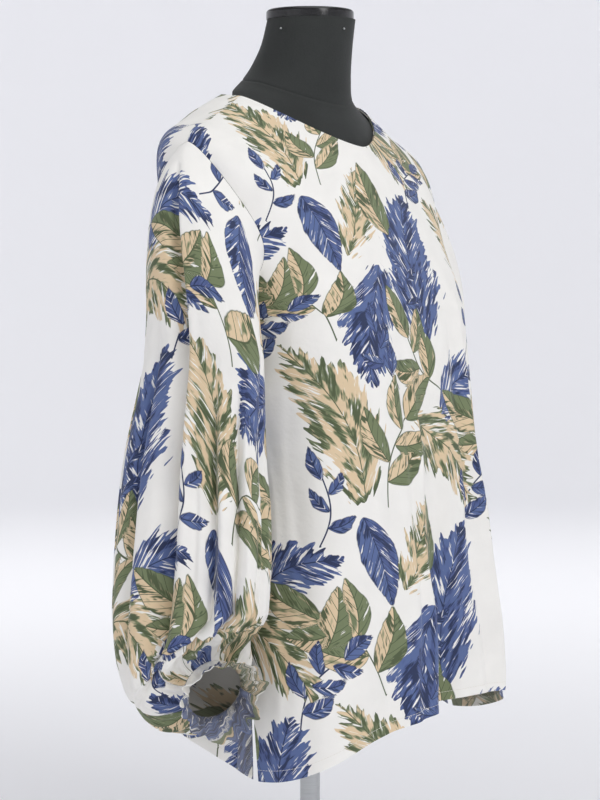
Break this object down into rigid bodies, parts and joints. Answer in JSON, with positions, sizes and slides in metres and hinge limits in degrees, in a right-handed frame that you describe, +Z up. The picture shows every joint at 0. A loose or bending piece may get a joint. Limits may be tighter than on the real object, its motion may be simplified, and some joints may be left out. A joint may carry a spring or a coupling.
{
  "type": "blouse on a dress form",
  "caption": "Long-sleeved trapeze blouse with a wide round neck, full sleeves gathered into elastic ruffled cuffs, side slits and a high-low hem, standing on a limbless dress form.",
  "frame": {"origin": "on the floor, under the middle of the dress form's round base", "axes": "+Z up, -Y towards the wearer's front, +X towards the wearer's left"},
  "size_m": [0.6884, 0.4186, 1.1423],
  "materials": {
    "printed_cloth": "plain woven cloth with a leaf print in blue, olive and sand on cream",
    "form_jersey": "charcoal knitted jersey",
    "gloss_cap": "glossy black",
    "steel": "brushed"
  },
  "bodies": {
    "root": {"front": "printed_cloth", "back": "printed_cloth", "neck_facing": "printed_cloth", "sleeve_right": "printed_cloth", "sleeve_left": "printed_cloth", "cuff_right": "printed_cloth", "cuff_left": "printed_cloth", "form_torso": "form_jersey", "form_neck_cap": "gloss_cap", "form_pole": "steel", "form_base": "steel"}
  },
  "joints": []
}
